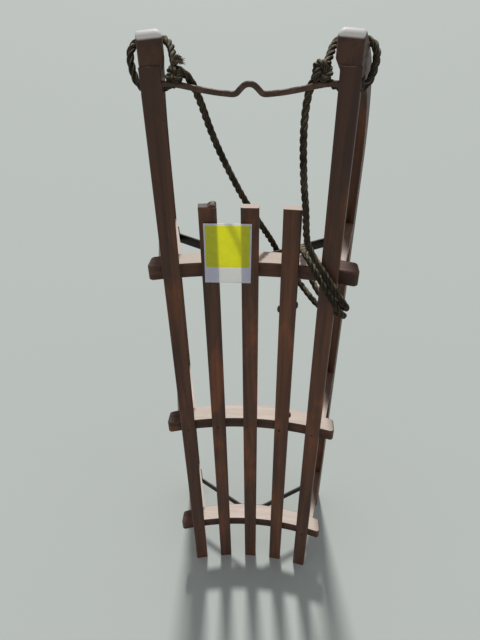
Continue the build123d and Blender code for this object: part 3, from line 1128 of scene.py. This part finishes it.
def rope_mesh(name: str, points: list[Vector], strand: Strand) -> bpy.types.Object:
    """Makes a rope of twisted strands along a line.

    Args:
        name: The piece's name.
        points: The rope's middle line, evenly spaced.
        strand: How the rope is laid up.

    Returns:
        The new object, with a UV map named lay.
    """
    verts: list[Vector] = []
    faces: list[tuple[int, ...]] = []
    corners: list[tuple[float, float]] = []
    ring = strand.sides
    for number in range(strand.strands):
        first = len(verts)
        verts += strand.rings(points, number)
        for index in range(len(points) - 1):
            for corner in range(ring):
                following = (corner + 1) % ring
                low = first + index * ring
                faces.append((low + corner, low + following, low + ring + following, low + ring + corner))
                for step, share in ((0, corner), (0, corner + 1), (1, corner + 1), (1, corner)):
                    corners.append((share / ring, (index + step) * strand.step))
        for start, order in ((first, -1), (first + (len(points) - 1) * ring, 1)):
            faces.append(tuple(range(start, start + ring))[::order])
            corners += [(0.5, 0.0)] * ring
    mesh = bpy.data.meshes.new(name)
    mesh.from_pydata(verts, [], faces)
    layer = mesh.uv_layers.new(name="lay")
    for loop, place in zip(layer.data, corners):
        loop.uv = place
    mesh.polygons.foreach_set("use_smooth", [True] * len(mesh.polygons))
    return linked(name, mesh)


@dataclass(frozen=True)
class FrayedEnd:
    """The tuft of loose fibres at the rope's cut end, in metres but for its place."""

    centre: Point = (-91.0, 10.0, 1164.5)
    seed: int = 11
    hairs: int = 420
    lift: Band = (-0.5, 1.0)
    start: Band = (0.001, 0.004)
    length: Band = (0.003, 0.0058)
    sag: float = 0.0025
    droop: float = -0.6
    radius: float = 0.00035
    sides: int = 4
    shares: tuple[float, ...] = (0.0, 0.35, 0.7, 1.0)
    finish: RopeFinish = RopeFinish(name="rope_fibres", dirty=srgb(112, 98, 76), fibre=srgb(164, 148, 118))

    def hair(self, draw: random.Random) -> list[Vector]:
        """Draws the middle line of one fibre.

        Args:
            draw: The seeded random numbers.

        Returns:
            The points of its line.
        """
        turn = draw.uniform(0, math.tau)
        lift = draw.uniform(*self.lift)
        spread = math.sqrt(max(0.0, 1 - lift * lift))
        aim = Vector((spread * math.cos(turn), spread * math.sin(turn), lift))
        start = drawn(*self.centre) + aim * draw.uniform(*self.start)
        length = draw.uniform(*self.length)
        sag = Vector((draw.uniform(-1, 1), draw.uniform(-1, 1), self.droop)) * self.sag
        return [start + aim * length * share + sag * share * share for share in self.shares]

    def build(self) -> bpy.types.Object:
        """Builds the tuft.

        Returns:
            The finished piece.
        """
        draw = random.Random(self.seed)
        ring = self.sides
        rows = len(self.shares) - 1
        verts: list[Vector] = []
        faces: list[tuple[int, ...]] = []
        for _ in range(self.hairs):
            base = len(verts)
            line = self.hair(draw)
            for place, (_, side, up) in zip(line, frames_along(line)):
                for corner in range(ring):
                    angle = math.tau * corner / ring
                    verts.append(place + (side * math.cos(angle) + up * math.sin(angle)) * self.radius)
            for row in range(rows):
                for corner in range(ring):
                    low = base + row * ring
                    following = (corner + 1) % ring
                    faces.append((low + corner, low + following, low + ring + following, low + ring + corner))
            top = base + rows * ring
            faces += [tuple(range(base, base + ring))[::-1], tuple(range(top, top + ring))]
        mesh = bpy.data.meshes.new("rope_frayed_end")
        mesh.from_pydata(verts, [], faces)
        mesh.uv_layers.new(name="lay")
        return settle(linked("rope_frayed_end", mesh), "rope_frayed_end", self.finish.build())


@dataclass
class TowRope:
    """The tow rope: one run from horn to horn, a loop and a knot at each horn, and its frayed end."""

    finish: RopeFinish = RopeFinish()
    strand: Strand = Strand()
    knot_strand: Strand = Strand(diameter=0.0105, lay=0.03)
    knot_points: int = 30
    rod_gap: float = 9.6
    rod_step: float = 0.001

    def knot_line(self, centre: Point, size: Point) -> list[Vector]:
        """Draws the closed line of a knot that fills a box, pushed outwards where it is near the draw rod.

        Args:
            centre: The middle of the box.
            size: The box's size.

        Returns:
            The line's control points.
        """
        rod = rod_line(self.rod_step)
        free = [(extent - self.knot_strand.diameter / MM) / 2 for extent in size]
        line = []
        for number in range(self.knot_points):
            turn = math.tau * number / self.knot_points
            reach = 2 + math.cos(3 * turn)
            spot = (reach * math.cos(2 * turn) / 3, math.sin(3 * turn), reach * math.sin(2 * turn) / 3)
            place = drawn(*(c + s * f for c, s, f in zip(centre, spot, free)))
            near = rod[0]
            for point in rod:
                if abs(point.x - place.x) < abs(near.x - place.x):
                    near = point
            away = Vector((0.0, place.y - near.y, place.z - near.z))
            if away.length < self.rod_gap * MM:
                place += away.normalized() * (self.rod_gap * MM - away.length)
            line.append(place)
        return line

    def lay_rope(
        self, name: str, control: list[Vector], strand: Strand, cyclic: bool = False
    ) -> tuple[bpy.types.Object, list[Vector]]:
        """Lays a rope along a smooth line.

        Args:
            name: The piece's name.
            control: The line's control points.
            strand: How the rope is laid up.
            cyclic: Whether the line closes on itself.

        Returns:
            The piece, and the points that it follows.
        """
        points = spline_points(name + "_line", control, cyclic)
        if cyclic:
            points.append(points[0].copy())
        points = even_points(points, strand.step)
        return rope_mesh(name, points, strand), points

    def build_knots(self, laid: bpy.types.Material) -> list[bpy.types.Object]:
        """Builds the knot beside each horn.

        Args:
            laid: The rope's material.

        Returns:
            Both knots.
        """
        knots = []
        for name, centre, size in KNOTS:
            knot, _ = self.lay_rope(f"knot_{name}", self.knot_line(centre, size), self.knot_strand, True)
            settle(knot, f"knot_{name}", laid)
            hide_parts(f"rope_knot_{name}")
            knots.append(knot)
        return knots

    def build_run(self, laid: bpy.types.Material) -> None:
        """Args:
            laid: The rope's material.
        """
        run, points = self.lay_rope("tow_rope", [drawn(*point) for point in RUN_ROUTE], self.strand)
        settle(run, "tow_rope", laid)
        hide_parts("rope_run")
        LOG.info("tow rope length %.4f m", line_length(points))

    def build_loop(
        self, name: str, side: int, laid: bpy.types.Material
    ) -> None:
        """Args:
            name: The horn's side of the sled.
            side: -1 on the left and 1 on the right.
            laid: The rope's material.
        """
        control = [drawn(side * x, y, z) for x, y, z in LOOP_ROUTE]
        loop, points = self.lay_rope(f"horn_loop_{name}", control, self.strand)
        settle(loop, f"horn_loop_{name}", laid)
        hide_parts(f"rope_loop_{name}")
        LOG.info("loop length %.4f m", line_length(points))

    def build(self) -> None:
        """Builds the knots, the frayed end, the run and the loops in order."""
        laid = self.finish.build()
        knots = self.build_knots(laid)
        frayed = FrayedEnd().build()
        self.build_run(laid)
        for name, side in SIDES:
            self.build_loop(name, side, laid)


@dataclass
class Card:
    """The blank card that lies on the left and middle slats."""

    low_left: Point = (-72.9, 9.2, 842.6)
    low_right: Point = (1.5, 13.7, 840.6)
    high_left: Point = (-70.7, 9.2, 946.0)
    high_right: Point = (3.5, 13.7, 944.6)
    columns: int = 18
    rows: int = 24
    thickness: float = 0.7
    curl: float = 1.6
    curl_power: int = 3

    def build(self) -> None:
        """Builds the card as a thin sheet, slightly curled at its upper and lower edges."""
        deselect()
        bpy.ops.mesh.primitive_grid_add(x_subdivisions=self.columns, y_subdivisions=self.rows, size=1.0)
        card = bpy.context.object
        for vertex in card.data.vertices:
            across = vertex.co.x + 0.5
            upward = vertex.co.y + 0.5
            low = drawn(*self.low_left).lerp(drawn(*self.low_right), across)
            high = drawn(*self.high_left).lerp(drawn(*self.high_right), across)
            lift = self.curl * MM * abs(2 * upward - 1) ** self.curl_power
            vertex.co = low.lerp(high, upward) + Vector((0.0, -lift, 0.0))
        finish_with(card, "SOLIDIFY", thickness=self.thickness * MM, offset=0.0)
        settle(card, "blank_card", CardFinish().build())


@dataclass
class Nails:
    """The nail heads that show where the bars cross the crossbars."""

    effects: Effects
    radius: float = 2.9
    height: float = 1.1
    sides: int = 20
    ease: float = 0.45
    ease_steps: int = 3
    bed_radius: float = 562.5
    bow_centre: float = -540.11
    half_bar: float = 8.0
    finish: IronFinish = IronFinish(name="nail_iron", rust_from=0.42)
    # place across the sled and height of each head
    spots: tuple[Band, ...] = (
        (-125.0, 491.7),
        (-66.0, 493.1),
        (-5.6, 494.8),
        (59.7, 491.7),
        (124.5, 494.0),
        (-123.2, 128.8),
        (126.8, 137.8),
    )

    def places(self) -> list[Matrix]:
        """Finds where the heads go on the bowed bars.

        Returns:
            The place and turn of each head.
        """
        reach = self.bed_radius - self.half_bar
        flat = Matrix.Rotation(math.pi / 2, 4, "X")
        found = []
        for across, height in self.spots:
            turn = math.asin(across / reach)
            place = drawn(across, self.bow_centre + reach * math.cos(turn), height)
            found.append(Matrix.Translation(place) @ Matrix.Rotation(-turn, 4, "Z") @ flat)
        return found

    def build(self) -> None:
        """Models one head and sets a copy at each spot."""
        deselect()
        bpy.ops.mesh.primitive_cylinder_add(
            vertices=self.sides, radius=self.radius * MM, depth=self.height * MM
        )
        head = bpy.context.object
        finish_with(head, "BEVEL", width=self.ease * MM, segments=self.ease_steps)
        set_copies(head, "nail", self.places(), self.finish.build(self.effects))


def beside_face(side: int, along: float = 0.6, facing: float = 0.7) -> EdgeTest:
    """Makes a test for the edges of the face that looks to one side of the sled.

    Args:
        side: -1 for the left and 1 for the right.
        along: How far the edge's other face may turn to that side.
        facing: How far the face itself turns to it at least.

    Returns:
        The test.
    """

    def passes(one: Vector, two: Vector) -> bool:
        """Tests an edge by the normals of its two faces."""
        return abs(one.x) < along and side * two.x > facing

    return passes


def under_tip(one: Vector, two: Vector) -> bool:
    """Tests whether an edge lies between a horn's end face and its underside."""
    return one.y < END_FACING and two.z < UNDER_FACING


@dataclass
class Horns:
    """The runners with their horn tips rounded, as merged copies of their CAD meshes."""

    effects: Effects
    finish: WoodFinish = WoodFinish()
    rounded_to: float = 46.0
    lowest: float = 1050.0
    inner: float = 9.5
    inner_steps: int = 7
    outer: float = 3.5
    underside: float = 5.0
    steps: int = 4
    merge_distance: float = 2e-6
    flat_degrees: float = 0.5
    smooth_degrees: float = 32.0
    slack: float = 1e-5
    first_seed: float = 21.3
    seed_step: float = 1.7

    def pick(self, mesh: bpy.types.Mesh, wanted: EdgeTest) -> int:
        """Selects the horn's edges that pass a test.

        Args:
            mesh: The runner's mesh.
            wanted: The test, given the normals of an edge's two faces.

        Returns:
            How many edges are selected.
        """
        normals: dict[tuple[int, int], list[Vector]] = {}
        for face in mesh.polygons:
            face.select = False
            for key in face.edge_keys:
                normals.setdefault(tuple(sorted(key)), []).append(face.normal.copy())
        for vertex in mesh.vertices:
            vertex.select = False
        limit = drawn(0.0, self.rounded_to, self.lowest)
        count = 0
        for edge in mesh.edges:
            first, second = (mesh.vertices[index].co for index in edge.vertices)
            pair = normals.get(tuple(sorted(edge.key)), [])
            near = max(first.y, second.y) < limit.y + self.slack and min(first.z, second.z) > limit.z
            edge.select = near and len(pair) == 2 and (wanted(*pair) or wanted(*pair[::-1]))
            count += edge.select
            for index in edge.vertices if edge.select else ():
                mesh.vertices[index].select = True
        return count

    def round_off(self, piece: bpy.types.Object, radius: float, steps: int, wanted: EdgeTest) -> None:
        """Rounds the horn's edges that pass a test.

        Args:
            piece: The runner, which is active.
            radius: How far the rounding reaches.
            steps: How many faces it has across.
            wanted: The test for its edges.
        """
        count = self.pick(piece.data, wanted)
        bpy.ops.object.mode_set(mode="EDIT")
        bpy.ops.mesh.bevel(
            offset=radius * MM, offset_type="OFFSET", segments=steps, profile=0.5, affect="EDGES"
        )
        bpy.ops.object.mode_set(mode="OBJECT")
        LOG.info("%s: %d edges rounded by %.1f mm", piece.name, count, radius)

    def merged_copy(self, name: str) -> bpy.types.Object:
        """Copies a runner's CAD mesh, merges the copy, and cuts it where the rounding ends.

        Args:
            name: The runner's side of the sled.

        Returns:
            The new object, which is active.
        """
        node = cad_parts[f"runner_{name}"]
        piece = linked(f"horned_runner_{name}", node.data.copy())
        piece.data.transform(node.matrix_world)
        activate(piece)
        bpy.ops.object.mode_set(mode="EDIT")
        bpy.ops.mesh.select_all(action="SELECT")
        bpy.ops.mesh.remove_doubles(threshold=self.merge_distance)
        bpy.ops.mesh.dissolve_limited(angle_limit=math.radians(self.flat_degrees))
        bpy.ops.mesh.select_all(action="SELECT")
        bpy.ops.mesh.bisect(plane_co=drawn(0.0, self.rounded_to, 0.0), plane_no=(0.0, 1.0, 0.0))
        bpy.ops.object.mode_set(mode="OBJECT")
        return piece

    def build(self) -> None:
        """Builds both runners and lets them replace their CAD nodes."""
        bpy.context.tool_settings.mesh_select_mode = (False, True, False)
        for number, (name, side) in enumerate(SIDES):
            piece = self.merged_copy(name)
            self.round_off(piece, self.inner, self.inner_steps, beside_face(-side))
            self.round_off(piece, self.outer, self.steps, beside_face(side))
            self.round_off(piece, self.underside, self.steps, under_tip)
            bpy.ops.object.shade_smooth_by_angle(angle=math.radians(self.smooth_degrees))
            label = f"horned_runner_{name}"
            seed = self.first_seed + self.seed_step * number
            wood = self.finish.build(label, self.effects, Grain.ROUND_BEND, seed, side)
            settle(piece, label, wood)
            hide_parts(f"runner_{name}")


@dataclass
class BrokenEnd:
    """The broken upper end of the left slat, with its raised splinter."""

    effects: Effects
    # the broken end's painted sunlit top colour is kept close to its dark body colour
    finish: WoodFinish = WoodFinish(body=srgb(84, 64, 52), warm=srgb(98, 68, 50), sunlit_top_colour=srgb(92, 76, 66))
    turn: float = 0.1151
    middle: Point = (-64.6, 18.67, 969.0)
    width: float = 27.6
    depth: float = 15.6
    step: float = 1.4
    splinter: float = 3.4
    rise_from: float = 0.5
    rise_over: float = 4.5
    fall_to: float = 13.9
    fall_over: float = 1.2
    least: float = 0.3
    middle_share: float = 0.75
    edge_share: float = 0.5
    roughness: float = 0.3
    cuts: int = 9
    draw_seed: int = 5
    grain_seed: float = 3.3

    def height(self, across: float, depth: float) -> float:
        """Finds the break's height at one place, before its roughness.

        Args:
            across: Place across the slat, in millimetres.
            depth: Place in the slat's depth, as a share from -0.5 to 0.5.

        Returns:
            The height in millimetres.
        """
        rise = clamped((across - self.rise_from) / self.rise_over, 0.0, 1.0)
        rise *= clamped((self.fall_to - across) / self.fall_over, self.least, 1.0)
        return self.step + self.splinter * rise * (self.middle_share + self.edge_share * abs(depth))

    def build(self) -> None:
        """Builds the break as a thin uneven block on the slat's end."""
        draw = random.Random(self.draw_seed)
        deselect()
        bpy.ops.mesh.primitive_cube_add(size=1.0)
        block = bpy.context.object
        bpy.ops.object.mode_set(mode="EDIT")
        bpy.ops.mesh.select_all(action="SELECT")
        bpy.ops.mesh.subdivide(number_cuts=self.cuts)
        bpy.ops.object.mode_set(mode="OBJECT")
        for vertex in block.data.vertices:
            across = vertex.co.x * self.width
            height = self.height(across, vertex.co.y) + draw.uniform(-self.roughness, self.roughness)
            share = vertex.co.z + 0.5
            vertex.co = Vector((across, vertex.co.y * self.depth, share * height)) * MM
        block.matrix_world = Matrix.Translation(drawn(*self.middle)) @ Matrix.Rotation(self.turn, 4, "Z")
        wood = self.finish.build("broken_end", self.effects, Grain.ALONG_SLED, self.grain_seed)
        settle(block, "slat_broken_end", wood)


@dataclass
class Lumps:
    """The small lumps of wood that stand out of the right slat's sides."""

    effects: Effects
    finish: WoodFinish = WoodFinish()
    places: tuple[Point, ...] = ((78.4, 19.5, 795.5), (79.0, 19.5, 531.0), (49.6, 17.0, 788.0))
    size: Point = (3.2, 5.0, 6.5)
    roughness: Band = (0.9, 1.1)
    draw_seed: int = 23
    grain_seed: float = 8.9

    def build(self) -> None:
        """Models one rough lump and sets a copy at each place."""
        draw = random.Random(self.draw_seed)
        deselect()
        bpy.ops.mesh.primitive_ico_sphere_add(subdivisions=3, radius=1.0)
        lump = bpy.context.object
        for vertex in lump.data.vertices:
            vertex.co *= draw.uniform(*self.roughness)
        bpy.ops.object.shade_smooth()
        wood = self.finish.build("lumps", self.effects, Grain.ALONG_SLED, self.grain_seed)
        scale = Matrix.Diagonal((*(extent * MM for extent in self.size), 1.0))
        places = [Matrix.Translation(drawn(*place)) @ scale for place in self.places]
        set_copies(lump, "slat_lump", places, wood)


@dataclass(frozen=True)
class Viewpoint:
    """The camera of the photograph."""

    place: Point = (0.0410, -0.7711, 1.2432)
    yaw_degrees: float = -4.917
    pitch_degrees: float = 35.196
    roll_degrees: float = -0.908
    focal_pixels: float = 478.1
    image_height: float = 640.0
    sensor: float = 36.0
    clip: Band = (0.01, 500.0)

    def build(self) -> None:
        """Creates the camera and makes it the scene's."""
        yaw = math.radians(self.yaw_degrees)
        pitch = math.radians(self.pitch_degrees)
        roll = math.radians(self.roll_degrees)
        ahead = Vector((math.sin(yaw) * math.cos(pitch), math.cos(yaw) * math.cos(pitch), -math.sin(pitch)))
        level = Vector((math.cos(yaw), -math.sin(yaw), 0.0))
        upward = level.cross(ahead)
        right = level * math.cos(roll) + upward * math.sin(roll)
        above = upward * math.cos(roll) - level * math.sin(roll)
        data = bpy.data.cameras.new("camera")
        data.sensor_fit = "VERTICAL"
        data.sensor_height = self.sensor
        data.lens = self.focal_pixels * self.sensor / self.image_height
        data.clip_start, data.clip_end = self.clip
        camera = linked("camera", data)
        turn = Matrix((right, above, -ahead)).transposed().to_4x4()
        camera.matrix_world = Matrix.Translation(self.place) @ turn
        bpy.context.scene.camera = camera


@dataclass(frozen=True)
class Studio:
    """A plain pale floor under a broad lamp far behind and above, and even light all round."""

    floor_colour: Colour = srgb(182, 187, 181)
    floor_size: float = 600.0
    floor_roughness: float = 0.9
    world_colour: Colour = (0.92, 0.95, 1.0, 1.0)
    world_strength: float = 0.42
    backdrop: float = 0.7
    lamp_way: Point = (-0.06, 0.586, 0.808)
    lamp_distance: float = 5.0
    lamp_spread_degrees: float = 6.0
    lamp_strength: float = 2.45

    def floor(self) -> None:
        """Lays the floor."""
        deselect()
        bpy.ops.mesh.primitive_plane_add(size=self.floor_size)
        floor = bpy.context.object
        floor.name = "floor"
        material, bench, shader = new_material("pale_floor")
        bench.feed(shader, {"Base Color": self.floor_colour, "Roughness": self.floor_roughness})
        floor.data.materials.append(material)

    def world(self) -> None:
        """Builds the even light, which the camera sees as a paler backdrop."""
        world = bpy.data.worlds.new("studio")
        world.use_nodes = True
        bench = Bench(world.node_tree)
        seen = bench.add("LightPath").outputs["Is Camera Ray"]
        strength = bench.add(
            "MapRange", {"Value": seen, "To Min": self.world_strength, "To Max": self.backdrop}
        ).outputs[0]
        sky = world.node_tree.nodes["Background"]
        bench.feed(sky, {"Color": self.world_colour, "Strength": strength})
        bpy.context.scene.world = world

    def lamp(self) -> None:
        """Adds the far lamp, whose light falls on the sled from behind and above."""
        data = bpy.data.lights.new("far_lamp", "SUN")
        data.angle = math.radians(self.lamp_spread_degrees)
        data.energy = self.lamp_strength
        way = Vector(self.lamp_way)
        turn = way.to_track_quat("Z", "Y").to_matrix().to_4x4()
        linked("far_lamp", data).matrix_world = Matrix.Translation(way * self.lamp_distance) @ turn

    def build(self) -> None:
        """Builds the floor, the world and the lamp."""
        self.floor()
        self.world()
        self.lamp()
        bpy.context.scene.view_settings.view_transform = "Standard"


def main() -> None:
    """Builds the camera, the studio and each part of the sled in order."""
    logging.basicConfig(level=logging.INFO, format="%(message)s")
    Viewpoint().build()
    Studio().build()
    effects = Effects()
    Woodwork(effects).build()
    Ironwork(effects).build()
    TowRope().build()
    Horns(effects).build()
    Nails(effects).build()
    BrokenEnd(effects).build()
    Lumps(effects).build()
    Card().build()


if __name__ == "__main__":
    main()
